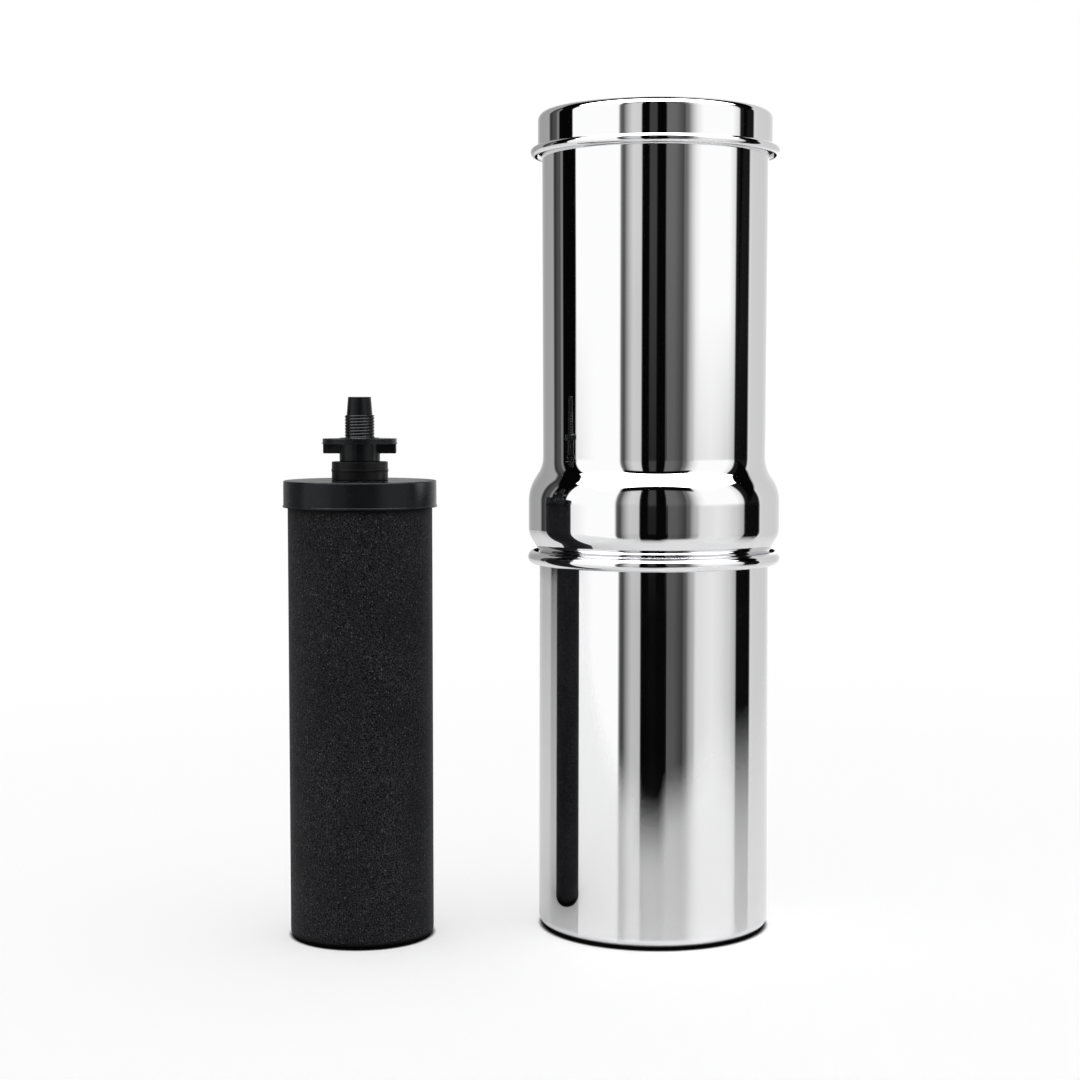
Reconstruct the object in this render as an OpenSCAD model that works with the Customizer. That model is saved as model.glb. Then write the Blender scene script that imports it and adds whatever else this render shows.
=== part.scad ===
/* [Sheet metal] */
// Thickness of the pressed stainless sheet
sheet_t = 0.6; // [0.4:0.1:0.7]
// Clearance where one steel vessel rests on or in another
seat_gap = 0.3; // [0.2:0.05:0.4]
// Gap left between the lip of a rolled edge and the wall behind it
lip_gap = 0.25; // [0.15:0.05:0.3]

/* [Lower chamber] */
// Outer diameter of the lower chamber's wall just under its rim
lower_d = 107; // [96:1:140]
// Height of the lower chamber, rim included
lower_h = 176.7; // [160:1:220]
// How much wider in radius the wall is at its foot than at its rim
lower_flare = 0.3; // [0:0.1:1]
// Outer radius of the corner between base and wall
base_corner_r = 5; // [3:0.5:10]
// Diameter of the rolled rim's tube
rim_tube_d = 6; // [4.5:0.5:6.5]

/* [Upper chamber] */
// How much narrower in radius the upper chamber's mouth is than the lower chamber's wall
upper_inset = 1.1; // [0.8:0.1:4]
// Free height between the closed end of the fitted block and the lid
head_room = 4.8; // [2:0.2:60]
// How much narrower in radius the wall is at its waist than at its mouth
upper_taper = 0.5; // [0:0.1:1]
// Depth of the plug that enters the lower chamber, measured from the rim's top
plug_depth = 18.3; // [12:0.5:24]
// Outer radius of the corner between the floor and the plug's wall
plug_corner_r = 5; // [3:0.5:8]
// Diameter of the small tube rolled round the mouth
hem_d = 1.5; // [1.5:0.1:1.8]

/* [Bulge above the joint] */
// How far in radius the bulge stands out beyond the lower chamber's wall
bulge_out = 5.1; // [3:0.1:8]
// Height of the bulge's full width above the centre of the lower chamber's rim
bulge_rise = 13.9; // [12:0.5:18]
// Height of the straight band at the bulge's full width
bulge_band_h = 12.3; // [8:0.5:24]
// Outer radius where the band turns in towards the joint
bulge_foot_r = 10.5; // [8:0.5:12]
// Outer radius where the band turns in towards the waist
shoulder_r = 18; // [10:1:24]
// Outer radius of the hollow between the shoulder and the wall above
waist_r = 12; // [6:1:18]
// Angle of the shoulder's slope from the vertical
shoulder_angle = 27; // [20:1:35]

/* [Lid] */
// Height of the lid, bead included
lid_h = 20.1; // [16:1:30]
// Outer radius of the lid's shoulder
lid_corner_r = 3.8; // [3:0.2:5]
// Diameter of the tube rolled round the lid's edge
lid_tube_d = 4; // [3:0.5:5]
// Clearance between the lid's skirt and the rolled mouth inside it
lid_fit_gap = 0.4; // [0.4:0.1:1]

/* [Carbon block] */
// Diameter of the pressed carbon block
block_d = 66.1; // [50:1:80]
// Full height of the block, the end inside the cap included
block_h = 205.6; // [120:1:260]
// Radius of the rounded edge at the closed end
block_edge_r = 3; // [1:0.5:6]
// Diameter of the collecting bore up the middle of the block
block_bore_d = 18; // [10:1:24]
// Thickness of carbon left at the closed end
block_end_t = 22; // [12:1:40]

/* [End cap and stem] */
// Thickness of the cap's wall round the block
cap_wall = 1.55; // [1:0.05:3]
// Thickness of the cap's floor, which carries the stem
cap_floor_t = 4.1; // [2:0.1:8]
// Depth to which the block sits in the cap
cap_cup_depth = 8; // [5:0.5:14]
// Thickness of the adhesive between the block and the cap
bond_t = 0.4; // [0.2:0.1:0.6]
// Rounding of the cap's and the washers' outer edges
edge_r = 0.4; // [0.2:0.1:0.6]
// Outer diameter of the stem's thread
thread_d = 13.5; // [12:0.5:15]
// Length of the threaded part of the stem
thread_l = 29.8; // [26:0.5:36]
// Length of the plain tapered tip beyond the thread
tip_l = 8.3; // [4:0.5:14]
// Step in radius from the thread down to the tip
tip_step = 0.85; // [0.7:0.05:1.5]
// How much the tip narrows in radius over its length
tip_taper = 0.65; // [0.2:0.05:1]
// Diameter of the water passage through the stem
passage_d = 6; // [4:0.5:7]

/* [Washers and wing nut] */
// Outer diameter of both washers
washer_d = 25.7; // [22:0.5:30]
// Thickness of the washer between the cap and the chamber's floor
inner_washer_h = 4.6; // [3:0.1:5]
// Thickness of the washer between the chamber's floor and the nut
outer_washer_h = 4; // [3:0.1:5]
// Radial clearance of the washers and the floor hole round the stem
stem_gap = 0.3; // [0.2:0.05:0.5]
// Radial running clearance of the nut round the stem
nut_gap = 0.08; // [0.03:0.01:0.1]
// Diameter of the nut's round flange
nut_flange_d = 34; // [30:1:40]
// Thickness of the flange
nut_flange_t = 2.4; // [2:0.1:3]
// How far the nut's collar stands up beyond the flange
nut_collar_h = 0.4; // [0.2:0.1:0.8]
// Height of the whole nut
nut_h = 10.9; // [9:0.1:12]
// Diameter of the nut's hub
nut_hub_d = 18.8; // [17:0.2:22]
// Span across the two wings under the flange
wing_span = 33.3; // [26:0.5:33.5]
// Thickness of each wing
wing_t = 5; // [3:0.5:8]
// Height of the wings under the flange
wing_h = 4.4; // [2:0.1:5]

/* [Where the second element stands] */
// Clear distance to the left between the unit's rim and the element's cap
stand_gap = 42; // [5:1:120]
// Distance of the standing element in front of the unit's axis
stand_front = 19.3; // [-60:1:100]

/* [Hidden] */

$fn = 96;
steel = [0.80, 0.80, 0.81];
carbon = [0.09, 0.09, 0.10];
moulded_black = [0.06, 0.065, 0.075];
rubber_black = [0.10, 0.10, 0.11];
glue_grey = [0.30, 0.30, 0.28];

// Degrees between two points on a rounded stretch of a profile
arc_step = 9;
half_t = sheet_t / 2;

// Lower chamber: the rim is a tube rolled outwards from the wall's inner face
lower_r = lower_d / 2;
lower_inner_r = lower_r - sheet_t;
rim_tube_r = rim_tube_d / 2;
rim_r = lower_inner_r + rim_tube_r;
rim_z = lower_h - rim_tube_r;

// Element, measured from the closed end of its block
cup_floor_z = block_h + bond_t;
cup_r = block_d / 2 + bond_t;
cap_r = cup_r + cap_wall;
cap_mouth_z = cup_floor_z - cap_cup_depth;
cap_face_z = cup_floor_z + cap_floor_t;
thread_end_z = cap_face_z + thread_l;
inner_washer_top_z = cap_face_z + inner_washer_h;
stem_hole_r = thread_d / 2 + stem_gap;

// Upper chamber: a cone under the bulge sits on the shoulder of that rim
plug_r = lower_inner_r - seat_gap;
floor_z = lower_h - plug_depth;
floor_top_z = floor_z + sheet_t;
upper_r = lower_r - upper_inset;
waist_wall_r = upper_r - upper_taper;
bulge_r = lower_r + bulge_out;
bulge_foot_z = rim_z + bulge_rise;
shoulder_z = bulge_foot_z + bulge_band_h;
hem_r = hem_d / 2;
hem_centre_r = upper_r - sheet_t + hem_r;

// Lid: the inside of its shoulder rests on the rolled mouth
skirt_r = hem_centre_r + hem_r + lid_fit_gap;
lid_top_z = floor_top_z + inner_washer_top_z + head_room + sheet_t;
lid_inner_corner_r = lid_corner_r - sheet_t;
lid_corner_centre_r = skirt_r - lid_inner_corner_r;
lid_corner_z = lid_top_z - lid_corner_r;
lid_reach = lid_inner_corner_r - hem_r - seat_gap;
hem_z = lid_corner_z + sqrt(pow(lid_reach, 2) - pow(hem_centre_r - lid_corner_centre_r, 2));
lid_tube_r = lid_tube_d / 2;
lid_tube_z = lid_top_z - lid_h + lid_tube_r;

// The second element's axis
stand_x = -(rim_r + rim_tube_r + stand_gap + cap_r);

// A point at an angle on a circle
function on_circle(centre, r, angle) = centre + r * [cos(angle), sin(angle)];

// Points along an arc, ends included
function arc(centre, r, from, to) =
    let (n = max(2, ceil(abs(to - from) / arc_step)))
    [for (i = [0:n]) on_circle(centre, r, from + (to - from) * i / n)];

// Unit vector to the right of the way from a to b
function right_of(a, b) =
    let (d = b - a)
    [d[1], -d[0]] / norm(d);

// Mitred right-hand normal at point i of a path
function mitre(path, i) =
    let (
        last = len(path) - 1,
        before = right_of(path[max(0, i - 1)], path[max(1, i)]),
        after = right_of(path[min(last - 1, i)], path[min(last, i + 1)])
    )
    (before + after) / (1 + before * after);

// The path moved sideways, to its right for a positive distance
function beside(path, distance) =
    [for (i = [0:len(path) - 1]) path[i] + distance * mitre(path, i)];

function backwards(list) = [for (i = [len(list) - 1:-1:0]) list[i]];

// Degrees that a rolled edge turns through before its lip meets the gap to the wall
function roll_turn(tube_r) = 180 + acos((sheet_t + lip_gap) / tube_r - 1);

// Angle of the line that leaves one circle and touches the other on its far side
function crossing_angle(centre_a, r_a, centre_b, r_b) =
    let (d = centre_b - centre_a)
    atan2(d[1], d[0]) + acos((r_a + r_b) / norm(d));

// A body of revolution pressed from sheet, drawn along the middle of its thickness
module pressed(path) {
    rotate_extrude()
        polygon(concat(beside(path, half_t), backwards(beside(path, -half_t))));
}

// A solid of revolution from its outline
module turned(outline) {
    rotate_extrude()
        polygon(outline);
}

// A plain round ring with both outer edges eased
module ring(outer_r, inner_r, h) {
    turned(concat(
        [[inner_r, 0]],
        arc([outer_r - edge_r, edge_r], edge_r, -90, 0),
        arc([outer_r - edge_r, h - edge_r], edge_r, 0, 90),
        [[inner_r, h]]
    ));
}

module lower_vessel() {
    corner_r = base_corner_r - half_t;
    foot_r = lower_r + lower_flare - base_corner_r;
    color(steel)
        pressed(concat(
            [[0, half_t]],
            arc([foot_r, base_corner_r], corner_r, -90, 0),
            arc([rim_r, rim_z], rim_tube_r - half_t, 180, 180 - roll_turn(rim_tube_r))
        ));
}

module upper_vessel() {
    plug_corner = plug_corner_r - half_t;
    plug_corner_centre_r = plug_r - plug_corner_r;
    seat_centre = [rim_r, rim_z];
    seat_r = rim_tube_r + seat_gap + half_t;
    foot_centre = [bulge_r - bulge_foot_r, bulge_foot_z];
    foot_r = bulge_foot_r - half_t;
    cone_angle = crossing_angle(foot_centre, foot_r, seat_centre, seat_r);
    shoulder_centre = [bulge_r - shoulder_r, shoulder_z];
    shoulder_end = on_circle(shoulder_centre, shoulder_r, shoulder_angle);
    waist_centre_r = waist_wall_r + waist_r;
    waist_start_r = waist_centre_r - waist_r * cos(shoulder_angle);
    slope_h = (shoulder_end[0] - waist_start_r) / tan(shoulder_angle);
    waist_z = shoulder_end[1] + slope_h + waist_r * sin(shoulder_angle);
    color(steel)
        pressed(concat(
            [[stem_hole_r, floor_z + half_t]],
            arc([plug_corner_centre_r, floor_z + plug_corner_r], plug_corner, -90, 0),
            arc(seat_centre, seat_r, 180, 180 + cone_angle),
            arc(foot_centre, foot_r, cone_angle, 0),
            arc(shoulder_centre, shoulder_r - half_t, 0, shoulder_angle),
            arc([waist_centre_r, waist_z], waist_r + half_t, 180 + shoulder_angle, 180),
            arc([hem_centre_r, hem_z], hem_r - half_t, 180, 180 - roll_turn(hem_r))
        ));
}

module lid() {
    color(steel)
        pressed(concat(
            [[0, lid_top_z - half_t]],
            arc([lid_corner_centre_r, lid_corner_z], lid_corner_r - half_t, 90, 0),
            arc(
                [skirt_r + lid_tube_r, lid_tube_z], lid_tube_r - half_t,
                180, 180 + roll_turn(lid_tube_r)
            )
        ));
}

// The element's parts, each standing on the closed end of the block at z = 0

module carbon_block() {
    r = block_d / 2;
    bore_r = block_bore_d / 2;
    color(carbon)
        turned(concat(
            [[0, 0]],
            arc([r - block_edge_r, block_edge_r], block_edge_r, -90, 0),
            [[r, block_h], [bore_r, block_h], [bore_r, block_end_t], [0, block_end_t]]
        ));
}

module bond() {
    r = block_d / 2;
    bore_r = block_bore_d / 2;
    color(glue_grey)
        turned([
            [bore_r, block_h], [r, block_h], [r, cap_mouth_z],
            [cup_r, cap_mouth_z], [cup_r, cup_floor_z], [bore_r, cup_floor_z]
        ]);
}

module end_cap() {
    tip_z = thread_end_z + tip_l;
    thread_r = thread_d / 2;
    tip_root_r = thread_r - tip_step;
    passage_r = passage_d / 2;
    color(moulded_black)
        turned(concat(
            [[cup_r, cap_mouth_z]],
            arc([cap_r - edge_r, cap_mouth_z + edge_r], edge_r, -90, 0),
            arc([cap_r - edge_r, cap_face_z - edge_r], edge_r, 0, 90),
            [
                [thread_r, cap_face_z], [thread_r, thread_end_z - edge_r],
                [thread_r - edge_r, thread_end_z],
                [tip_root_r, thread_end_z], [tip_root_r - tip_taper, tip_z],
                [passage_r, tip_z], [passage_r, cup_floor_z], [cup_r, cup_floor_z]
            ]
        ));
}

module inner_washer() {
    color(rubber_black)
        translate([0, 0, cap_face_z])
            ring(washer_d / 2, stem_hole_r, inner_washer_h);
}

// The two parts beyond the floor move out by the thickness of what they clamp
module outer_washer(clamped) {
    color(rubber_black)
        translate([0, 0, inner_washer_top_z + clamped])
            ring(washer_d / 2, stem_hole_r, outer_washer_h);
}

module wing_nut(clamped) {
    flange_z = nut_h - nut_collar_h - nut_flange_t;
    wing_z = flange_z - wing_h;
    color(moulded_black)
        translate([0, 0, inner_washer_top_z + outer_washer_h + clamped])
            difference() {
                union() {
                    cylinder(d = nut_hub_d, h = nut_h);
                    translate([0, 0, flange_z])
                        cylinder(d = nut_flange_d, h = nut_flange_t);
                    translate([0, 0, wing_z])
                        linear_extrude(wing_h + nut_flange_t / 2)
                            intersection() {
                                circle(d = wing_span);
                                square([wing_span, wing_t], center = true);
                            }
                }
                translate([0, 0, -nut_h])
                    cylinder(r = thread_d / 2 + nut_gap, h = 3 * nut_h);
            }
}

// An element hanging its stem through the upper chamber's floor
module fitted() {
    translate([0, 0, floor_top_z + inner_washer_top_z])
        rotate([180, 0, 0])
            children();
}

// An element standing beside the unit on its closed end
module standing() {
    translate([stand_x, -stand_front, 0])
        children();
}

module fitted_carbon_block() { fitted() carbon_block(); }
module fitted_bond() { fitted() bond(); }
module fitted_end_cap() { fitted() end_cap(); }
module fitted_inner_washer() { fitted() inner_washer(); }
module fitted_outer_washer() { fitted() outer_washer(sheet_t); }
module fitted_wing_nut() { fitted() wing_nut(sheet_t); }
module standing_carbon_block() { standing() carbon_block(); }
module standing_bond() { standing() bond(); }
module standing_end_cap() { standing() end_cap(); }
module standing_inner_washer() { standing() inner_washer(); }
module standing_outer_washer() { standing() outer_washer(0); }
module standing_wing_nut() { standing() wing_nut(0); }

lower_vessel();
upper_vessel();
lid();
fitted_carbon_block();
fitted_bond();
fitted_end_cap();
fitted_inner_washer();
fitted_outer_washer();
fitted_wing_nut();
standing_carbon_block();
standing_bond();
standing_end_cap();
standing_inner_washer();
standing_outer_washer();
standing_wing_nut();
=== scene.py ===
# %% [markdown]
# # A gravity water filter and its spare element
#
# This lesson dresses a solid CAD model of a countertop water filter. Two steel chambers
# are stacked under a lid. A black carbon element hangs inside the upper one, and its twin
# stands alongside with its threaded stem up. The solids already have the right sizes and
# joints, so the work here is the look: finely turned sheet metal with rolled edges, a real
# screw thread, moulded plastic, rubber and pressed carbon.
#
# The first cell loads the solids as a fixed frame, and each finished piece is measured
# against the box of the solid that it stands for.

# %% Load the frame
import math

import bpy
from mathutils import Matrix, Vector


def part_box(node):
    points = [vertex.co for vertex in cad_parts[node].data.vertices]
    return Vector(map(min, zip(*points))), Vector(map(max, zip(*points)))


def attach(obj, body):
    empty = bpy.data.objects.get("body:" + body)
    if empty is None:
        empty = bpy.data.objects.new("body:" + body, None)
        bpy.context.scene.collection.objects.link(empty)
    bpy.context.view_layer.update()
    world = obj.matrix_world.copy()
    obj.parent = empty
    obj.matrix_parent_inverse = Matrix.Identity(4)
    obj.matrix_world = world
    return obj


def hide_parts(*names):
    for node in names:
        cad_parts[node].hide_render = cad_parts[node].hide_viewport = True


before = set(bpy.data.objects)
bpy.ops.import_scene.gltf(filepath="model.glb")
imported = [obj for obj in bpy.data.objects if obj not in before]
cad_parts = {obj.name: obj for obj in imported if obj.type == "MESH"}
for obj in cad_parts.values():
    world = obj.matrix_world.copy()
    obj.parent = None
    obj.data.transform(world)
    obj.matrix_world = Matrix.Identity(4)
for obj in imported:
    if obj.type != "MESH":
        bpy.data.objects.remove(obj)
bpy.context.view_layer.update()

MM = 0.001
scene = bpy.context.scene


def heights(node):
    """The lowest and the highest point of a solid, in millimetres."""
    low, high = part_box(node)
    return round(low[2] / MM, 3), round(high[2] / MM, 3)


# %% [markdown]
# ## The camera
#
# A product like this is shot with a long lens from about a metre away, a little above the
# middle of the object, so that upright walls stay upright. A wide lens nearby would bend
# them. The camera is made first, because every later choice is judged through it.

# %% Place the camera
TILT_DOWN = 3.88

bpy.ops.object.select_all(action="DESELECT")
bpy.ops.object.camera_add(
    location=(-53.4 * MM, -959.4 * MM, 246.4 * MM),
    rotation=(math.radians(90 - TILT_DOWN), 0, 0),
)
camera = bpy.context.object
camera.data.lens = 68.4
camera.data.sensor_width = 36
camera.data.clip_start = 0.01
scene.camera = camera
scene.view_settings.view_transform = "Standard"
print("camera is", round(camera.location.length, 3), "m from the chambers' foot")

# %% [markdown]
# ## Drawing a section with one travelling point
#
# Every vessel here is a body of revolution, pressed or spun from flat sheet. A turned shape
# could be made from a cylinder with many loops, but its rolled edges are easier to draw as
# a section. So a plane is merged down to a single point, and that point is extruded along
# the straights and spun round the corners. The helpers below keep its place in millimetres:
# x is the distance from the axis and z is the height.
#
# Each straight gets a short stretch at both ends. Without those, the smooth shading of a
# corner would spread along the whole wall and bend the reflections in it.

# %% Helpers for a section
pen = {"x": 0.0, "z": 0.0}
SUPPORT = 0.6
WELD = 0.002 * MM
SMOOTH_UNDER = math.radians(35)


def select_only(piece):
    """Makes a piece the active one and the only one selected."""
    bpy.ops.object.select_all(action="DESELECT")
    piece.select_set(True)
    bpy.context.view_layer.objects.active = piece


def start_section(name, x, z):
    """Leaves one selected point at x, z in a new mesh, in edit mode."""
    bpy.ops.object.select_all(action="DESELECT")
    bpy.ops.mesh.primitive_plane_add(size=MM)
    piece = bpy.context.object
    piece.name = piece.data.name = name
    bpy.ops.object.mode_set(mode="EDIT")
    bpy.ops.mesh.select_mode(type="VERT")
    bpy.ops.mesh.merge(type="CENTER")
    bpy.ops.transform.translate(value=(x * MM, 0, z * MM))
    pen.update(x=x, z=z)
    return piece


def extrude_by(dx, dz):
    """Extrudes the point by one step."""
    bpy.ops.mesh.extrude_vertices_move(
        TRANSFORM_OT_translate={"value": (dx * MM, 0, dz * MM)})


def straight_to(x, z):
    """Extrudes the point along a straight, in three stretches."""
    dx, dz = x - pen["x"], z - pen["z"]
    end = min(SUPPORT / math.hypot(dx, dz), 0.25)
    for share in (end, 1 - 2 * end, end):
        extrude_by(dx * share, dz * share)
    pen.update(x=x, z=z)


def corner(x, z, turn, step=4.0):
    """Spins the point round a centre by a turn in degrees, anticlockwise if positive."""
    angle = math.radians(turn)
    bpy.ops.mesh.spin(
        steps=max(2, math.ceil(abs(turn) / step)), angle=abs(angle),
        center=(x * MM, 0, z * MM), axis=(0, 1 if turn > 0 else -1, 0))
    dx, dz = pen["x"] - x, pen["z"] - z
    pen.update(x=x + dx * math.cos(angle) - dz * math.sin(angle),
               z=z + dx * math.sin(angle) + dz * math.cos(angle))


def turn_section(steps):
    """Spins the section once round the upright axis, welds it and leaves edit mode."""
    bpy.ops.mesh.select_all(action="SELECT")
    bpy.ops.mesh.spin(steps=steps, angle=math.tau, center=(0, 0, 0), axis=(0, 0, 1))
    bpy.ops.mesh.select_all(action="SELECT")
    bpy.ops.mesh.remove_doubles(threshold=WELD)
    bpy.ops.mesh.normals_make_consistent(inside=False)
    bpy.ops.object.mode_set(mode="OBJECT")


def compare(piece, node):
    """Prints how far a piece's box is from that of the solid that it stands for."""
    low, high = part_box(node)
    points = [v.co for v in piece.data.vertices]
    off = [round((min(p[i] for p in points) - low[i]) / MM, 2) for i in range(3)]
    off += [round((max(p[i] for p in points) - high[i]) / MM, 2) for i in range(3)]
    piece.data.calc_loop_triangles()
    print(piece.name, len(piece.data.loop_triangles), "triangles, box off by", off, "mm")


print("helpers ready")

# %% [markdown]
# ## Pressing a section from sheet
#
# The section runs along the middle of the sheet's thickness. Spun round the axis, it is
# a skin without thickness, and a Solidify modifier gives it the real 0.6 mm, half to each
# side. That is how the rolled edges come out hollow, as they are on the real vessels. The
# normals are made to point outwards before that, so that both sides of the wall agree.
#
# A tube rolled along an edge turns until its lip nearly meets the wall again. How far that
# is follows from the tube's radius, the sheet's thickness and the gap that is left.

# %% Helpers for sheet metal
SHEET = 0.6
LIP_GAP = 0.25
HALF = SHEET / 2
AROUND = 240


def roll_turn(tube_r):
    """Degrees that a rolled edge turns through."""
    return 180 + math.degrees(math.acos((SHEET + LIP_GAP) / tube_r - 1))


def give_thickness(piece):
    """Thickens the skin to real sheet and smooths all but its cut edges."""
    sheet = piece.modifiers.new("sheet", "SOLIDIFY")
    sheet.thickness = SHEET * MM
    sheet.offset = 0
    bpy.ops.object.modifier_apply(modifier=sheet.name)
    bpy.ops.object.shade_smooth_by_angle(angle=SMOOTH_UNDER)


print("a 6 mm rim is rolled through", round(roll_turn(3), 1), "degrees")

# %% [markdown]
# ## The lower chamber
#
# A deep-drawn cup. Its base meets the wall in a 5 mm radius, and its top is rolled outwards
# into a 6 mm tube, which stiffens the cup and gives the upper chamber a rounded seat. The
# rolling draws the wall in by a hair, so it is a little wider at the foot.

# %% Draw and spin the lower chamber
RIM_X, RIM_R = 55.9, 3.0
RIM_Z = heights("lower_vessel")[1] - RIM_R
BASE_FLAT_R, BASE_CORNER = 48.8, 5

lower = start_section("lower_chamber_pressed", 0, HALF)
straight_to(BASE_FLAT_R, HALF)
corner(BASE_FLAT_R, BASE_CORNER, 90)
straight_to(RIM_X - RIM_R + HALF, RIM_Z)
corner(RIM_X, RIM_Z, -roll_turn(RIM_R))
turn_section(AROUND)
give_thickness(lower)
compare(lower, "lower_vessel")
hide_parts("lower_vessel")
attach(lower, "lower_chamber")

# %% [markdown]
# ## The upper chamber
#
# The most demanding pressing. From the stem hole its floor runs out to a plug that drops
# inside the lower rim. Above the plug the wall turns out over the rim, swells into a wide
# band, and is drawn in again over a soft shoulder to the waist. Shoulder and waist meet in
# one S, and each curve is tangent to its neighbours, because a kink would show as a break
# in the mirror. The mouth ends in a tiny hem, which the lid covers.

# %% Draw and spin the upper chamber
FLOOR_Z, MOUTH_TOP = heights("upper_vessel")
STEM_HOLE_R = 7.05
PLUG_R, PLUG_FLAT_R, PLUG_CORNER = 52.3, 47.6, 5
CONE_TURN = -30.73
FOOT_X, FOOT_Z, FOOT_R = 48.1, 187.6, 10.2
BAND_R, BAND_TOP = 58.3, 199.9
SHOULDER_X, SHOULDER_TURN = 38.8, 32
WAIST_X, WAIST_Z, WAIST_R = 65.7, 220.25, 14.1
MOUTH_R, HEM_R = 51.8, 0.75

cone, slope = math.radians(CONE_TURN), math.radians(SHOULDER_TURN)
upper = start_section("upper_chamber_pressed", STEM_HOLE_R, FLOOR_Z + HALF)
straight_to(PLUG_FLAT_R, FLOOR_Z + HALF)
corner(PLUG_FLAT_R, FLOOR_Z + PLUG_CORNER, 90)
straight_to(PLUG_R, RIM_Z)
corner(RIM_X, RIM_Z, CONE_TURN)
straight_to(FOOT_X + FOOT_R * math.cos(cone), FOOT_Z + FOOT_R * math.sin(cone))
corner(FOOT_X, FOOT_Z, -CONE_TURN, 3)
straight_to(BAND_R, BAND_TOP)
corner(SHOULDER_X, BAND_TOP, SHOULDER_TURN, 2)
straight_to(WAIST_X - WAIST_R * math.cos(slope), WAIST_Z - WAIST_R * math.sin(slope))
corner(WAIST_X, WAIST_Z, -SHOULDER_TURN, 2)
straight_to(MOUTH_R + HALF, MOUTH_TOP - HEM_R)
corner(MOUTH_R + HEM_R, MOUTH_TOP - HEM_R, -roll_turn(HEM_R), 15)
turn_section(AROUND)
give_thickness(upper)
compare(upper, "upper_vessel")
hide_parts("upper_vessel")
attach(upper, "upper_chamber")

# %% [markdown]
# ## The lid
#
# A shallow cap with a tight shoulder and a straight skirt. Its edge is rolled outwards into
# a 4 mm bead that hides the cut and is what fingers lift.

# %% Draw and spin the lid
LID_LOW, LID_TOP = heights("lid")
LID_FLAT_R, LID_CORNER = 50.5, 3.8
SKIRT_R, BEAD_R = 53.7, 2.0

lid = start_section("lid_pressed", 0, LID_TOP - HALF)
straight_to(LID_FLAT_R, LID_TOP - HALF)
corner(LID_FLAT_R, LID_TOP - LID_CORNER, -90)
straight_to(SKIRT_R + HALF, LID_LOW + BEAD_R)
corner(SKIRT_R + BEAD_R, LID_LOW + BEAD_R, roll_turn(BEAD_R), 5)
turn_section(AROUND)
give_thickness(lid)
compare(lid, "lid")
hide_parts("lid")
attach(lid, "lid")

# %% [markdown]
# ## Where the elements go
#
# An element is modelled once, standing on its closed end on the upright axis. One copy is
# moved to where the spare stands, and another is turned over and lowered so that its stem
# goes through the chamber's floor. Each copy has its own mesh, and its place is applied to
# that mesh, so the object itself stays at the origin. The rotation gets its centre spelt
# out, because a turn in code has no cursor or view to take one from.

# %% Helper to place copies
FITTED_Z = heights("fitted_carbon_block")[1]
stand_low, stand_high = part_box("standing_carbon_block")
STAND_X, STAND_Y = [round((stand_low[i] + stand_high[i]) / 2 / MM, 1) for i in (0, 1)]


def place(piece, standing, fitted, standing_body, fitted_body, lift=0.0):
    """Moves a piece to the standing element and puts a turned copy in the chamber."""
    select_only(piece)
    bpy.ops.object.duplicate(linked=False)
    twin = bpy.context.object
    twin.name = twin.data.name = piece.name.replace("spare", "fitted")
    bpy.ops.transform.rotate(value=math.pi, orient_axis="X", center_override=(0, 0, 0))
    bpy.ops.transform.translate(value=(0, 0, (FITTED_Z - lift) * MM))
    bpy.ops.object.transform_apply(location=True, rotation=True, scale=True)
    compare(twin, fitted)
    select_only(piece)
    bpy.ops.transform.translate(value=(STAND_X * MM, STAND_Y * MM, 0))
    bpy.ops.object.transform_apply(location=True, rotation=True, scale=True)
    compare(piece, standing)
    for one, node, body in ((piece, standing, standing_body), (twin, fitted, fitted_body)):
        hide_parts(node)
        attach(one, body)
    return piece, twin


print("the spare stands at", STAND_X, STAND_Y, "mm")

# %% [markdown]
# ## The pressed carbon block
#
# Carbon powder and a binder are pressed and baked into a thick-walled tube with one closed
# end. Its edge is rounded because a sharp one would crumble in the mould. The section is
# drawn all round, out and back up the bore, so it spins into a closed solid.

# %% Draw and spin the carbon block
BLOCK_R, BLOCK_EDGE = 33.05, 3
BORE_R, CLOSED_END = 9, 22
BLOCK_H = heights("standing_carbon_block")[1]

block = start_section("spare_block_pressed", 0, 0)
straight_to(BLOCK_R - BLOCK_EDGE, 0)
corner(BLOCK_R - BLOCK_EDGE, BLOCK_EDGE, 90, 10)
straight_to(BLOCK_R, BLOCK_H)
straight_to(BORE_R, BLOCK_H)
straight_to(BORE_R, CLOSED_END)
straight_to(0, CLOSED_END)
turn_section(120)
bpy.ops.object.shade_smooth_by_angle(angle=SMOOTH_UNDER)
carbon_blocks = place(block, "standing_carbon_block", "fitted_carbon_block",
                      "standing_element", "upper_chamber")

# %% [markdown]
# ## The end cap and its stem
#
# One moulding in black plastic: a shallow cup glued over the open end of the block, and
# a hollow stem that carries the water out. The cup has a thin lip round its mouth, left by
# the mould's parting line. The stem is drawn at the depth of the thread's root, with
# a plain tapered spout above it for a hose to push on to.

# %% Draw and spin the cap
CAP_R, CUP_R = 35.0, 33.45
LIP_OUT, LIP_H = 0.3, 0.6
CAP_EDGE, STEM_FILLET = 0.7, 0.6
CAP_MOUTH, SPOUT_END = heights("standing_end_cap")
CAP_FACE, WASHER_JOIN = heights("standing_inner_washer")
CUP_FLOOR = BLOCK_H + 0.4
THREAD_R, THREAD_ROOT = 6.75, 6.4
THREAD_END = SPOUT_END - 8.3
SPOUT_ROOT_R, SPOUT_TIP_R, SPOUT_EDGE, PASSAGE_R = 5.9, 5.25, 0.3, 3.0

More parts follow.
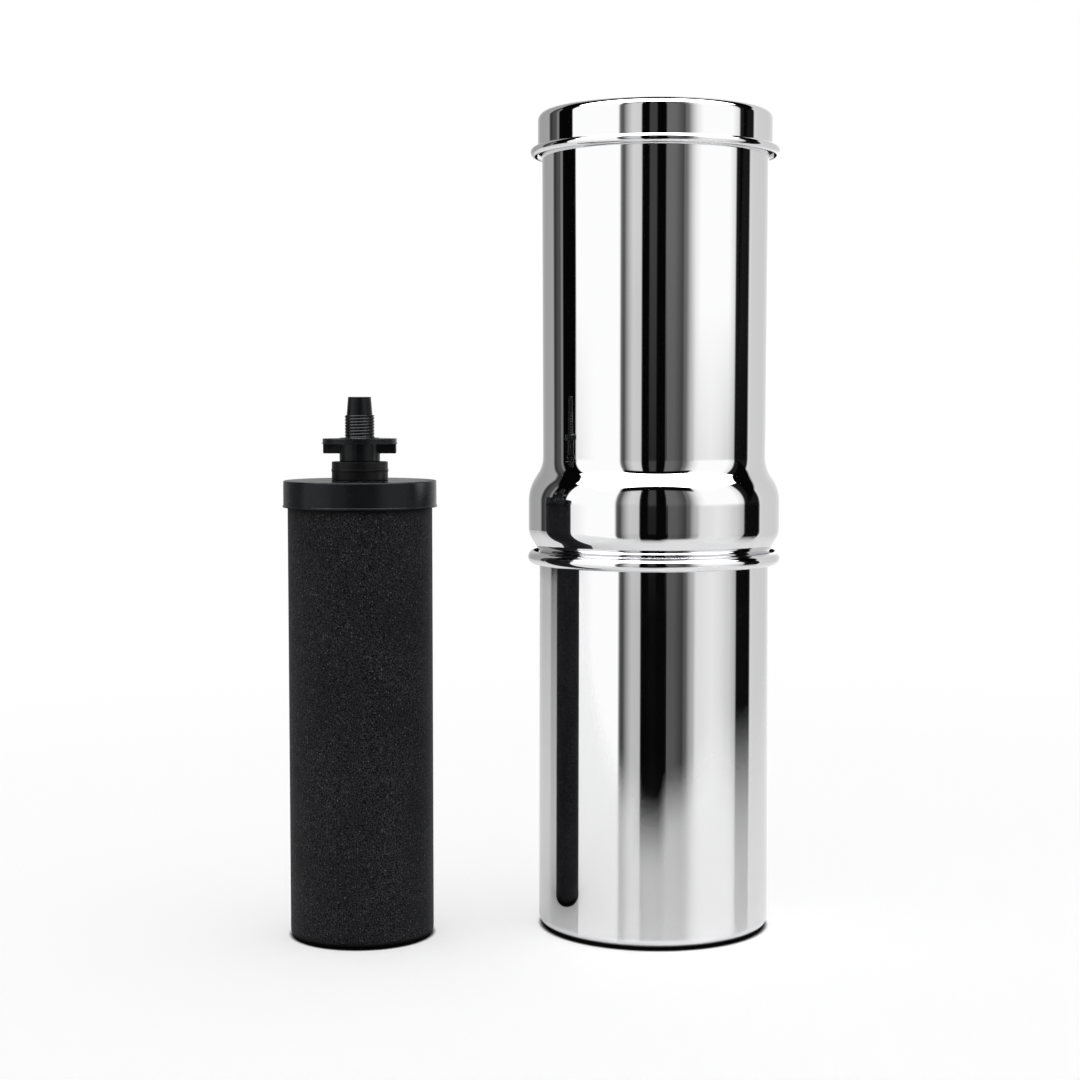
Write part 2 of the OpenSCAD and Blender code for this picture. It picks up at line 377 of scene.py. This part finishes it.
cap = start_section("spare_cap_moulded", CUP_R, CAP_MOUTH)
straight_to(CAP_R + LIP_OUT, CAP_MOUTH)
straight_to(CAP_R + LIP_OUT, CAP_MOUTH + LIP_H)
corner(CAP_R + LIP_OUT - 0.2, CAP_MOUTH + LIP_H, 90, 30)
straight_to(CAP_R, CAP_MOUTH + LIP_H + 0.3)
straight_to(CAP_R - 0.05, CAP_FACE - CAP_EDGE)
corner(CAP_R - 0.05 - CAP_EDGE, CAP_FACE - CAP_EDGE, 90, 15)
straight_to(THREAD_ROOT + STEM_FILLET, CAP_FACE)
corner(THREAD_ROOT + STEM_FILLET, CAP_FACE + STEM_FILLET, -90, 15)
straight_to(THREAD_ROOT, THREAD_END - 0.2)
corner(THREAD_ROOT - 0.2, THREAD_END - 0.2, 90, 30)
straight_to(SPOUT_ROOT_R, THREAD_END)
straight_to(SPOUT_TIP_R, SPOUT_END - SPOUT_EDGE)
corner(SPOUT_TIP_R - SPOUT_EDGE, SPOUT_END - SPOUT_EDGE, 90, 22.5)
straight_to(PASSAGE_R + SPOUT_EDGE, SPOUT_END)
corner(PASSAGE_R + SPOUT_EDGE, SPOUT_END - SPOUT_EDGE, 90, 22.5)
straight_to(PASSAGE_R, CUP_FLOOR)
straight_to(CUP_R, CUP_FLOOR)
straight_to(CUP_R, CAP_MOUTH)
turn_section(160)
bpy.ops.object.shade_smooth_by_angle(angle=SMOOTH_UNDER)
print(cap.name, len(cap.data.polygons), "faces")

# %% [markdown]
# ## The screw thread
#
# The stem's thread is a single ridge wound round it, 1.38 mm higher at each turn. Rings
# stacked on each other would look nearly right from the front, but a nut could never climb
# them. So one small tooth outline is drawn and a Screw modifier winds it up the stem. The
# tooth has a broad top, a steep flank below and a gentle one above. A bisect cuts the ridge
# off level where the spout begins, and its open ends are closed. The ridge sinks a little
# way into the stem, so no gap can show at its root.

# %% Wind the thread
PITCH = 1.38
TURNS, STEPS_A_TURN = 22, 60
SUNK_R = THREAD_ROOT - 0.25
THREAD_LOW = CAP_FACE + 0.1
TOOTH = ((THREAD_ROOT, 0.06), (THREAD_R - 0.04, 0.2), (THREAD_R, 0.24), (THREAD_R, 0.7),
         (THREAD_R - 0.03, 0.74), (THREAD_ROOT, 1.3), (SUNK_R, 1.36))

thread = start_section("thread_ridge", SUNK_R, THREAD_LOW)
for x, z in TOOTH:
    extrude_by(x - pen["x"], THREAD_LOW + z - pen["z"])
    pen.update(x=x, z=THREAD_LOW + z)
bpy.ops.mesh.select_all(action="SELECT")
bpy.ops.mesh.edge_face_add()
bpy.ops.mesh.delete(type="ONLY_FACE")
bpy.ops.object.mode_set(mode="OBJECT")
wind = thread.modifiers.new("wind", "SCREW")
wind.angle = math.tau
wind.screw_offset = PITCH * MM
wind.iterations = TURNS
wind.steps = wind.render_steps = STEPS_A_TURN
bpy.ops.object.modifier_apply(modifier=wind.name)
bpy.ops.object.mode_set(mode="EDIT")
bpy.ops.mesh.select_all(action="SELECT")
bpy.ops.mesh.remove_doubles(threshold=WELD)
bpy.ops.mesh.select_all(action="SELECT")
bpy.ops.mesh.bisect(plane_co=(0, 0, (THREAD_END - 0.1) * MM), plane_no=(0, 0, 1),
                    use_fill=True, clear_outer=True)
bpy.ops.mesh.select_all(action="DESELECT")
bpy.ops.mesh.select_non_manifold()
bpy.ops.mesh.edge_face_add()
bpy.ops.mesh.select_all(action="SELECT")
bpy.ops.mesh.normals_make_consistent(inside=False)
bpy.ops.object.mode_set(mode="OBJECT")
bpy.ops.object.shade_smooth_by_angle(angle=math.radians(25))
print("thread:", len(thread.data.polygons), "faces")

# %% Join thread and cap
select_only(cap)
thread.select_set(True)
bpy.ops.object.join()
end_caps = place(cap, "standing_end_cap", "fitted_end_cap",
                 "standing_element", "upper_chamber")

# %% [markdown]
# ## The rubber washers
#
# Two thick washers squeeze the chamber's floor between them. They are moulded in two
# halves, which leaves a thin flash line where the halves met, and their faces are a little
# narrower than their middle. On the spare, the two lie on each other.

# %% Draw and spin the washers
WASHER_R, WASHER_BORE, EASE = 12.85, STEM_HOLE_R, 0.4
FLASH_OUT, FLASH_HALF, FLASH_FOOT = 0.22, 0.12, 0.35


def make_washer(name, low, high, flash_low):
    """A ring between two heights, with a flash line near its lower or its upper edge."""
    line = low + 0.25 if flash_low else high - 0.25
    ring = start_section(name, WASHER_BORE, low)
    straight_to(WASHER_R - EASE, low)
    if flash_low:
        straight_to(WASHER_R + 0.05, low)
    else:
        corner(WASHER_R - EASE, low + EASE, 90, 15)
        straight_to(WASHER_R, line - FLASH_FOOT)
    straight_to(WASHER_R + FLASH_OUT, line - FLASH_HALF)
    straight_to(WASHER_R + FLASH_OUT, line + FLASH_HALF)
    if flash_low:
        straight_to(WASHER_R, line + FLASH_FOOT)
        straight_to(WASHER_R - 0.03, high - EASE)
        corner(WASHER_R - EASE - 0.03, high - EASE, 90, 15)
    else:
        straight_to(WASHER_R + 0.05, high)
    straight_to(WASHER_BORE, high)
    straight_to(WASHER_BORE, low)
    turn_section(128)
    bpy.ops.object.shade_smooth_by_angle(angle=SMOOTH_UNDER)
    return ring


WASHER_TOP = heights("standing_outer_washer")[1]

inner_washer = make_washer("spare_washer_upper", CAP_FACE, WASHER_JOIN, False)
washers = list(place(inner_washer, "standing_inner_washer", "fitted_inner_washer",
                     "standing_element", "upper_chamber"))
outer_washer = make_washer("spare_washer_lower", WASHER_JOIN, WASHER_TOP, True)
washers += place(outer_washer, "standing_outer_washer", "fitted_outer_washer",
                 "standing_washer", "fitted_washer", lift=SHEET)

# %% [markdown]
# ## The wing nut
#
# A moulded nut turned by hand: a slightly tapered hub, a round flange near its far end, and
# one rib right across, which makes the two wings. The hub and flange are spun from
# a section, the rib is a block with bevelled corners, and a Boolean joins them into one
# solid. Only then are the sharp edges eased, so that the seams between the shapes get the
# same small radius as a mould would give them.

# %% Spin the hub and flange
NUT_LOW, NUT_HIGH = heights("standing_wing_nut")
FLANGE_TOP = NUT_HIGH - 0.4
FLANGE_LOW = FLANGE_TOP - 2.4
WING_LOW = FLANGE_LOW - 4.4
FLANGE_R, WING_SPAN, WING_T = 17.0, 33.3, 5.0
HUB_R, HUB_END_R, COLLAR_R = 9.4, 9.2, 9.0
NUT_BORE, CHAMFER = 6.83, 0.5
BEAD_OUT, BEAD_H = 0.2, 0.5

nut = start_section("spare_nut_moulded", NUT_BORE, NUT_LOW)
straight_to(HUB_END_R, NUT_LOW)
straight_to(HUB_R, FLANGE_LOW)
straight_to(FLANGE_R + BEAD_OUT, FLANGE_LOW)
straight_to(FLANGE_R + BEAD_OUT, FLANGE_LOW + BEAD_H)
straight_to(FLANGE_R - 0.05, FLANGE_LOW + BEAD_H + 0.05)
straight_to(FLANGE_R - 0.1, FLANGE_TOP)
straight_to(HUB_R, FLANGE_TOP)
straight_to(COLLAR_R, NUT_HIGH)
straight_to(NUT_BORE + CHAMFER, NUT_HIGH)
straight_to(NUT_BORE, NUT_HIGH - CHAMFER)
straight_to(NUT_BORE, NUT_LOW)
turn_section(128)
print(nut.name, len(nut.data.polygons), "faces")

# %% Cut the wings and join them
CORE_R, CORE_H = 8.4, 20
SUNK_IN_FLANGE = 1.2

bpy.ops.object.select_all(action="DESELECT")
bpy.ops.mesh.primitive_cube_add(size=MM)
wings = bpy.context.object
bpy.ops.object.mode_set(mode="EDIT")
wing_h = FLANGE_LOW + SUNK_IN_FLANGE - WING_LOW
bpy.ops.transform.resize(value=(WING_SPAN, WING_T, wing_h))
bpy.ops.transform.translate(value=(0, 0, (WING_LOW + wing_h / 2) * MM))
bpy.ops.mesh.bevel(offset=0.5 * MM, segments=3, affect="EDGES")
bpy.ops.mesh.select_all(action="SELECT")
bpy.ops.object.mode_set(mode="OBJECT")
bpy.ops.mesh.primitive_cylinder_add(vertices=96, radius=CORE_R * MM, depth=CORE_H * MM,
                                    location=(0, 0, (NUT_LOW + 5) * MM))
core = bpy.context.object
for tool, target, operation in ((core, wings, "DIFFERENCE"), (wings, nut, "UNION")):
    select_only(target)
    cut = target.modifiers.new("cut", "BOOLEAN")
    cut.operation = operation
    cut.solver = "EXACT"
    cut.object = tool
    bpy.ops.object.modifier_apply(modifier=cut.name)
for tool in (core, wings):
    bpy.data.objects.remove(tool)
ease = nut.modifiers.new("ease", "BEVEL")
ease.width = 0.22 * MM
ease.segments = 2
ease.angle_limit = math.radians(40)
bpy.ops.object.modifier_apply(modifier=ease.name)
bpy.ops.object.shade_smooth_by_angle(angle=SMOOTH_UNDER)
wing_nuts = place(nut, "standing_wing_nut", "fitted_wing_nut",
                  "standing_nut", "fitted_nut", lift=SHEET)

# %% [markdown]
# ## Colour and node helpers
#
# Colours are written as the hex values a painter would pick on screen. Shaders work with
# light, which isn't what screen values count, so one function turns them to linear. One
# more small function adds a node, fills its sockets and links what is a socket already.
# The kinds of node that come up again and again get a name of their own on top of it:
# noise, a changed range, a sum or product, a blend of two colours, and relief.

# %% Helpers for materials


def linear(hex_colour):
    """An sRGB hex colour as linear red, green, blue and alpha."""
    channels = [int(hex_colour[i:i + 2], 16) / 255 for i in (1, 3, 5)]
    return (*[c / 12.92 if c <= 0.04045 else ((c + 0.055) / 1.055) ** 2.4
              for c in channels], 1)


def plain(level):
    """A neutral colour: black at 0, white at 1, a lamp above that."""
    return (level, level, level, 1)


def fill(tree, node, inputs):
    """Fills a node's sockets: another socket is linked, anything else is a value."""
    for name, value in inputs.items():
        if isinstance(value, bpy.types.NodeSocket):
            tree.links.new(value, node.inputs[name])
        else:
            node.inputs[name].default_value = value
    return node


def add_node(tree, kind, inputs=None, **settings):
    """Adds a node, sets it up and fills its sockets."""
    made = tree.nodes.new(kind)
    for name, value in settings.items():
        setattr(made, name, value)
    return fill(tree, made, inputs or {})


def noise(tree, place_on, scale, detail, roughness=0.5):
    """Soft noise between 0 and 1."""
    return add_node(tree, "ShaderNodeTexNoise", {
        "Vector": place_on, "Scale": scale, "Detail": detail,
        "Roughness": roughness}).outputs["Fac"]


def remap(tree, value, low, high, to_low=0.0, to_high=1.0, **settings):
    """The range from low to high, stretched to another one and cut off at its ends."""
    return add_node(tree, "ShaderNodeMapRange", {
        "Value": value, "From Min": low, "From Max": high, "To Min": to_low,
        "To Max": to_high}, **settings).outputs["Result"]


def maths(tree, operation, first, second=0.0, **settings):
    """The result of one Math node."""
    return add_node(tree, "ShaderNodeMath", {0: first, 1: second}, operation=operation,
                    **settings).outputs["Value"]


def blend(tree, share, first, second, **settings):
    """A colour between two others: the first at share 0, the second at share 1."""
    return add_node(tree, "ShaderNodeMix", {"Factor": share, "A": first, "B": second},
                    data_type="RGBA", **settings).outputs["Result"]


def relief(tree, height, strength, depth):
    """The normals of a surface with a fine relief, its depth in millimetres."""
    return add_node(tree, "ShaderNodeBump", {
        "Height": height, "Strength": strength, "Distance": depth * MM}).outputs["Normal"]


def new_material(name):
    """A material, with its tree, its Principled shader and its texture coordinates."""
    material = bpy.data.materials.new(name)
    material.use_nodes = True
    tree = material.node_tree
    place_on = add_node(tree, "ShaderNodeTexCoord").outputs["Object"]
    return material, tree, tree.nodes["Principled BSDF"], place_on


def dress(pieces, *materials):
    """Gives each piece these materials and no others."""
    for piece in pieces:
        piece.data.materials.clear()
        for material in materials:
            piece.data.materials.append(material)


print("linear mid grey:", [round(c, 3) for c in linear("#808080")])

# %% [markdown]
# ## Mirror-polished stainless steel
#
# The chambers are 304 stainless steel, buffed on a wheel while they turn. A metal has no
# colour of its own under its reflection, so nearly everything one sees in it is the studio.
# What the buffing leaves are very fine lines round the vessel, a few tenths of
# a millimetre apart. They roughen the mirror by a trace here and there. The lines come
# from a noise in one dimension. It runs over the height plus the distance from the axis, so
# it draws rings on a wall and on a flat top alike.

# %% Mirror-polished steel
mirror_steel, tree, shader, place_on = new_material("mirror_polished_stainless_steel")
part = add_node(tree, "ShaderNodeSeparateXYZ", {"Vector": place_on})
level = add_node(tree, "ShaderNodeVectorMath", {0: place_on, 1: (1, 1, 0)},
                 operation="MULTIPLY")
out = add_node(tree, "ShaderNodeVectorMath", {0: level.outputs["Vector"]},
               operation="LENGTH")
along = maths(tree, "ADD", part.outputs["Z"], out.outputs["Value"])
lines = add_node(tree, "ShaderNodeTexNoise", {"W": along, "Scale": 3600.0, "Detail": 3.0,
                                              "Roughness": 0.6}, noise_dimensions="1D")
patches = noise(tree, place_on, 28.0, 2.0)
both = maths(tree, "MULTIPLY", lines.outputs["Fac"], patches)
fill(tree, shader, {"Base Color": linear("#E7E7E8"), "Metallic": 1.0,
                    "Roughness": remap(tree, both, 0.15, 0.4, 0.015, 0.05)})
print(mirror_steel.name, len(tree.nodes), "nodes")

# %% [markdown]
# ## Drawn steel inside the vessels
#
# Inside, nobody buffs the metal to a mirror. It keeps the satin of the rolled sheet,
# crossed by soft rings from the tool that spun it. That is the same steel with a higher
# roughness, and a faint bump for the rings, about a millimetre apart.

# %% Satin steel inside
satin_steel, tree, shader, place_on = new_material("satin_drawn_stainless_steel")
flat = add_node(tree, "ShaderNodeMapping", {"Vector": place_on, "Scale": (6, 6, 250)})
rings = noise(tree, flat.outputs["Vector"], 4.0, 4.0, 0.55)
fill(tree, shader, {"Base Color": linear("#E2E2E3"), "Metallic": 1.0,
                    "Roughness": remap(tree, rings, 0.3, 0.7, 0.3, 0.48),
                    "Normal": relief(tree, rings, 0.15, 0.05)})
print(satin_steel.name, len(tree.nodes), "nodes")

# %% [markdown]
# ## Which faces are inside
#
# The two finishes meet inside each rolled edge, where the buffing wheel can't reach. The
# faces are picked by place and normal: those that look at the axis, or up from a floor or
# down from under a lid, and lie deeper than the edge.

# %% Give the vessels their two finishes


def finish_inside(piece, low, high, reach):
    """Puts the second finish on the faces between two heights that face inwards."""
    dress([piece], mirror_steel, satin_steel)
    count = 0
    for face in piece.data.polygons:
        out = Vector((face.center.x, face.center.y, 0))
        distance = out.length / MM
        facing = face.normal.dot(out.normalized()) if distance > 0.01 else 0
        if low < face.center.z / MM < high and distance < reach and (
                facing < -0.2 or abs(facing) <= 0.2 and inner_level(piece, face)):
            face.material_index = 1
            count += 1
    print(piece.name, count, "faces inside")


def inner_level(piece, face):
    """True where a level face looks into its vessel."""
    return face.normal.z > 0.5 if piece != lid else face.normal.z < -0.5


finish_inside(lower, HALF + 0.1, RIM_Z - 5, BASE_FLAT_R + BASE_CORNER - 0.4)
finish_inside(upper, FLOOR_Z + 0.4, MOUTH_TOP - 4, BAND_R + 0.1)
finish_inside(lid, LID_LOW + 4, LID_TOP - 0.4, SKIRT_R + HALF)

# %% [markdown]
# ## Pressed carbon
#
# Activated carbon is ground to grains of a few tenths of a millimetre and pressed with
# a binder, so the surface is matt, porous and nearly black. Fine noise gives the grain its
# colour and relief, a coarser one the cloudy patches where the powder packed unevenly, and
# glints where grain faces would catch the light are painted into the colour, in scattered
# cells of a Voronoi pattern. Ambient Occlusion paints shade into the groove under the cap.

# %% Pressed carbon
carbon, tree, shader, place_on = new_material("pressed_activated_carbon")
grain = noise(tree, place_on, 1700.0, 2.0, 0.6)
clouds = noise(tree, place_on, 45.0, 3.0)
# painted glints: scattered Voronoi cells are made lighter where grain faces would catch the
# light
cells = add_node(tree, "ShaderNodeTexVoronoi", {"Vector": place_on, "Scale": 1000.0})
near = remap(tree, cells.outputs["Distance"], 0.4, 0.15)
lot = add_node(tree, "ShaderNodeSeparateColor", {"Color": cells.outputs["Color"]})
chosen = remap(tree, lot.outputs["Red"], 0.75, 1.0)
painted_glints = maths(tree, "MULTIPLY", near, chosen)
depth = add_node(tree, "ShaderNodeValToRGB", {"Fac": grain})
for stop, position, tone in zip(depth.color_ramp.elements, (0.42, 0.62),
                                ("#010101", "#303033")):
    stop.position = position
    stop.color = linear(tone)
packing = remap(tree, clouds, 0.35, 0.65, 0.0, 0.4)
patchy = blend(tree, packing, depth.outputs["Color"], linear("#0B0B0C"))
lit = blend(tree, painted_glints, patchy, linear("#505054"))
# painted shade: Ambient Occlusion darkens the colour to near black in the groove under the
# cap
groove_occlusion = add_node(tree, "ShaderNodeAmbientOcclusion", {"Distance": 5 * MM}, samples=8)
out_of_painted_shade = remap(tree, groove_occlusion.outputs["AO"], 0.6, 0.95)
fill(tree, shader, {"Base Color": blend(tree, out_of_painted_shade, linear("#010101"), lit),
                    "Normal": relief(tree, grain, 0.5, 0.2),
                    "Roughness": 0.55, "Specular IOR Level": 0.05})
dress(carbon_blocks, carbon)
print(carbon.name, len(tree.nodes), "nodes")

# %% [markdown]
# ## Moulded black plastic
#
# The cap, stem and nut are injection-moulded polypropylene, coloured through with carbon
# black. The mould was spark-eroded, which prints a satin texture much finer than
# a millimetre. The plastic doesn't fill the mould evenly, so tone and gloss drift a little.

# %% Moulded polypropylene
plastic, tree, shader, place_on = new_material("moulded_black_polypropylene")
texture = noise(tree, place_on, 1500.0, 2.0)
flow = noise(tree, place_on, 60.0, 3.0)
fill(tree, shader, {"Base Color": blend(tree, flow, linear("#0C0D0F"), linear("#121417")),
                    "Roughness": remap(tree, flow, 0.3, 0.7, 0.22, 0.32),
                    "Normal": relief(tree, texture, 0.12, 0.05),
                    "IOR": 1.49, "Specular IOR Level": 0.17})
dress(end_caps, plastic)
dress(wing_nuts, plastic)
print(plastic.name, len(tree.nodes), "nodes")

# %% [markdown]
# ## Rubber and glue
#
# The washers are EPDM rubber: a dull black with a trace of bloom, smoother than carbon and
# softer in its gloss than plastic. The block is bonded into its cap with a dark hot-melt
# glue. Hardly any of it can be seen in the narrow gap, so its plain solid only needs
# a finish.

# %% Rubber and glue
rubber, tree, shader, place_on = new_material("epdm_rubber")
bloom = noise(tree, place_on, 180.0, 4.0)
fill(tree, shader, {"Base Color": blend(tree, bloom, linear("#08080A"), linear("#101012")),
                    "Normal": relief(tree, bloom, 0.2, 0.05),
                    "Roughness": 0.38, "Specular IOR Level": 0.15})
dress(washers, rubber)

glue, tree, shader, place_on = new_material("hot_melt_adhesive")
ripple = noise(tree, place_on, 260.0, 2.0)
fill(tree, shader, {"Base Color": blend(tree, ripple, linear("#1C1B19"), linear("#2A2926")),
                    "Normal": relief(tree, ripple, 0.4, 0.2), "Roughness": 0.3})
dress([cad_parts["standing_bond"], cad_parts["fitted_bond"]], glue)
print("rubber and glue ready")

# %% [markdown]
# ## The studio
#
# Polished steel shows the room, so the room is part of the finish. Round the object stand
# white cards and a grey backdrop with dark gaps between them, which draw the upright bands
# that make a mirror read as a cylinder. All of it goes into the world shader, and only
# reflections see it. To matt surfaces the world is plain, even white, so colours come out
# as they are written, and the camera sees white.
#
# The ring is two colour ramps over the compass direction, one for each side of the object.
# Their stops count the degrees away from the camera, from 0 in front to 180 behind. The
# lamps hang high, so below the height of the lens the cards fall off towards their ends.
# Two more ramps give the share of the light that is left there.

# %% The ring of cards
CARD = 1.22
BLACK = 0.002
LEFT = (
    (0, BLACK), (0.6, BLACK), (2.1, 0.06), (8, 0.06),                  # strip by the lens
    (9.2, BLACK), (15.8, BLACK),
    (16.8, 0.76), (25, 0.79), (28, 0.62), (31, 0.4), (33.6, 0.12),     # soft grey card
    (34.8, 0.1), (37, 0.2),
    (39, CARD), (90.2, CARD), (91.4, BLACK), (110.2, BLACK),           # big white card
    (111.2, 0.22), (113.6, 0.27), (115.2, 0.1), (121, 0.08),           # backdrop's dim edge
    (126, 0.035), (127.6, 0.08),
    (130.4, 0.43), (150, 0.39), (160, 0.43), (170, 0.56),              # backdrop
    (177.5, 0.6), (179, BLACK), (180, BLACK),
)
RIGHT = (
    (0, BLACK), (7.2, BLACK), (8.4, 0.17), (16.5, 0.16), (25, 0.07),   # strip by the lens
    (26.6, 0.17), (28.8, 0.2), (31, 0.4), (33.8, 0.68), (38, 1.0),     # soft near edge
    (44, CARD), (77, CARD), (85, 0.9),                                 # big white card
    (86.8, 0.014), (96, 0.012), (106, 0.01),                           # black flag
    (108.3, 0.84), (113, 0.76), (140, 0.72), (153, 0.8),               # backdrop
    (160, 1.0), (168, CARD), (171.5, CARD), (173, BLACK), (180, BLACK),
)
LEFT_SHARE = (
    (0, 1), (15, 1), (17, 1.2), (28, 1.2), (33, 1), (66, 1), (84, 0.82), (90, 0.78),
    (92, 1), (180, 1),
)
RIGHT_SHARE = (
    (0, 1), (28, 1), (31, 1.25), (34, 1.05), (38, 0.85), (44, 0.74), (56, 0.8),
    (67, 0.72), (74, 0.62), (86, 0.56), (87, 0.3), (107, 0.3), (109, 1), (180, 1),
)

world = bpy.data.worlds.new("studio")
scene.world = world
world.use_nodes = True
tree = world.node_tree
tree.nodes.clear()
ray = add_node(tree, "ShaderNodeTexCoord").outputs["Generated"]
part = add_node(tree, "ShaderNodeSeparateXYZ", {"Vector": ray})
ahead = maths(tree, "MULTIPLY", part.outputs["Y"], -1.0)
compass = maths(tree, "ARCTAN2", part.outputs["X"], ahead)
facing = maths(tree, "ABSOLUTE", compass)
turn = maths(tree, "DIVIDE", facing, math.pi)


def ring_side(stops):
    """A colour ramp over the turn away from the camera, from stops in degrees."""
    ramp = add_node(tree, "ShaderNodeValToRGB", {"Fac": turn})
    points = ramp.color_ramp.elements
    for degrees, level in stops[1:-1]:
        points.new(degrees / 180)
    points[0].position, points[-1].position = 0, 1
    for point, (degrees, level) in zip(points, stops):
        point.color = plain(level)
    return ramp.outputs["Color"]


to_right = maths(tree, "GREATER_THAN", part.outputs["X"], 0.0)
cards, share = (blend(tree, to_right, ring_side(left), ring_side(right))
                for left, right in ((LEFT, RIGHT), (LEFT_SHARE, RIGHT_SHARE)))
below_lens = remap(tree, part.outputs["Z"], 0.04, -0.05)
ring = blend(tree, below_lens, cards, share, blend_type="MULTIPLY")
print("ring:", len(LEFT), "stops to the left,", len(RIGHT), "to the right")

# %% [markdown]
# ## The ceiling
#
# A big white panel hangs level over the object. Each of its edges and those of the backdrop
# is a straight line in space, and all rays that pass on one side of it make up one half of
# a plane through the object. So an edge is a dot product with a fixed direction, softened
# a little: positive on one side and negative on the other. Between the panel's front edge
# and the cards in front, and between its rear edge and the top of the backdrop, one looks
# into the dark studio. The grey strips in front fade towards the floor.

# %% The ceiling and the gaps beside it
PANEL_LIGHT = 8


def beyond_edge(right, back, up, soft=0.02):
    """1 for rays on the positive side of a straight edge, 0 on the other side."""
    side = add_node(tree, "ShaderNodeVectorMath", {0: ray, 1: (right, back, up)},
                    operation="DOT_PRODUCT")
    return remap(tree, side.outputs["Value"], -soft, soft)


def both_of(first, second):
    """The product of two masks."""
    return maths(tree, "MULTIPLY", first, second)


lengthwise = both_of(beyond_edge(0, -1, 0.15), beyond_edge(0, 1, 0.8))
across = both_of(beyond_edge(-0.8, 0, 1), beyond_edge(0.8, 0, 1))
panel = both_of(lengthwise, across)
over_cards = both_of(beyond_edge(0, 1, 1.19, 0.04), beyond_edge(0, -1, -0.8))
narrow = remap(tree, facing, math.radians(39), math.radians(36))
front_gap = both_of(over_cards, narrow)
rear_gap = both_of(beyond_edge(0, 1, -0.15), beyond_edge(0, -1, 0.85, 0.03))
gaps = maths(tree, "MAXIMUM", front_gap, rear_gap)
wall = blend(tree, gaps, ring, plain(BLACK))
low = remap(tree, part.outputs["Z"], 0.08, -0.1, 0.0, 0.35)
strips = remap(tree, facing, math.radians(9.6), math.radians(9.2), 1.0, 2.8)
fade = maths(tree, "MULTIPLY", both_of(low, narrow), strips, use_clamp=True)
wall = blend(tree, fade, wall, plain(BLACK))
room = blend(tree, panel, wall, plain(PANEL_LIGHT))
light = add_node(tree, "ShaderNodeLightPath")
colour = blend(tree, light.outputs["Is Glossy Ray"], plain(1), room)
shine = add_node(tree, "ShaderNodeBackground", {"Color": colour})
add_node(tree, "ShaderNodeOutputWorld", {"Surface": shine.outputs["Background"]})
world.cycles.sampling_method = "NONE"
print("world:", len(tree.nodes), "nodes")

# %% [markdown]
# ## The floor
#
# The object stands on a sheet of white acrylic. The camera sees it almost white, with
# a soft shadow round each foot. Mirrored in the steel it has a soft gloss, and throws back
# more of the room the flatter one looks at it, from both faces of the sheet. Light Path
# lets one shader do both, and in both the matt part is shaded by the object.
#
# The sheet fades out a third to half a metre in front, a little nearer where the camera's
# stand hides it, at the right, and two metres behind. Where a foot almost touches it no
# light comes in at all, so Ambient Occlusion over a few millimetres draws a dark line.

# %% The floor
bpy.ops.object.select_all(action="DESELECT")
bpy.ops.mesh.primitive_plane_add(size=12, location=(0, 0, -0.05 * MM))
floor = bpy.context.object
floor.name = "floor_sheet"
acrylic = bpy.data.materials.new("white_acrylic_sheet")
acrylic.use_nodes = True
tree = acrylic.node_tree
tree.nodes.clear()


def ease_in(value, gone, full):
    """Rises smoothly from 0 at the first mark to 1 at the second."""
    return remap(tree, value, gone, full, interpolation_type="SMOOTHSTEP")


def shade(kind, inputs=None):
    """The output of a shader node."""
    return add_node(tree, kind, inputs).outputs[0]


def either_of(share, first, second):
    """A mix of two shaders: the first at share 0, the second at share 1."""
    return shade("ShaderNodeMixShader", {0: share, 1: first, 2: second})


place_on = add_node(tree, "ShaderNodeTexCoord").outputs["Object"]
part = add_node(tree, "ShaderNodeSeparateXYZ", {"Vector": place_on})
away = add_node(tree, "ShaderNodeVectorMath", {0: place_on},
                operation="LENGTH").outputs["Value"]
light = add_node(tree, "ShaderNodeLightPath")

# where the sheet is, in metres from the lower chamber
off_stand = maths(tree, "ABSOLUTE", maths(tree, "ADD", part.outputs["X"], 0.04))
notch = remap(tree, off_stand, 0.1, 0.05, 0.0, -0.08)
front = ease_in(maths(tree, "ADD", part.outputs["Y"], notch), -0.52, -0.27)
side = ease_in(part.outputs["X"], 0.8, 0.18)
rear = ease_in(away, 2.2, 1.8)
on_sheet = both_of(both_of(front, side), rear)

# what the camera sees
matt = shade("ShaderNodeBsdfDiffuse", {"Color": plain(0.5)})
glow = shade("ShaderNodeEmission", {"Color": plain(0.485)})
paper = shade("ShaderNodeAddShader", {0: matt, 1: glow})
white = shade("ShaderNodeEmission", {"Color": plain(1)})
open_floor = either_of(ease_in(away, 0.5, 1.0), paper, white)

# what the steel mirrors
grey = shade("ShaderNodeBsdfDiffuse", {"Color": plain(0.9)})
coat = shade("ShaderNodeBsdfGlossy", {"Color": plain(1), "Roughness": 0.14})
face = add_node(tree, "ShaderNodeFresnel", {"IOR": 1.49})
polish = remap(tree, face.outputs["Fac"], 0.045, 0.75, 0.0, 0.95)
glossy_sheet = either_of(polish, grey, coat)
mirrored = either_of(on_sheet, shade("ShaderNodeBsdfTransparent"), glossy_sheet)

# no light reaches the sheet where a foot almost touches it
contact = add_node(tree, "ShaderNodeAmbientOcclusion", {"Distance": 3.5 * MM}, samples=8)
open_sky = remap(tree, contact.outputs["AO"], 0.45, 0.75)
dark = shade("ShaderNodeEmission", {"Color": plain(BLACK)})
sheet = either_of(light.outputs["Is Glossy Ray"], open_floor, mirrored)
add_node(tree, "ShaderNodeOutputMaterial", {"Surface": either_of(open_sky, dark, sheet)})
floor.data.materials.append(acrylic)
print("floor:", len(tree.nodes), "nodes")
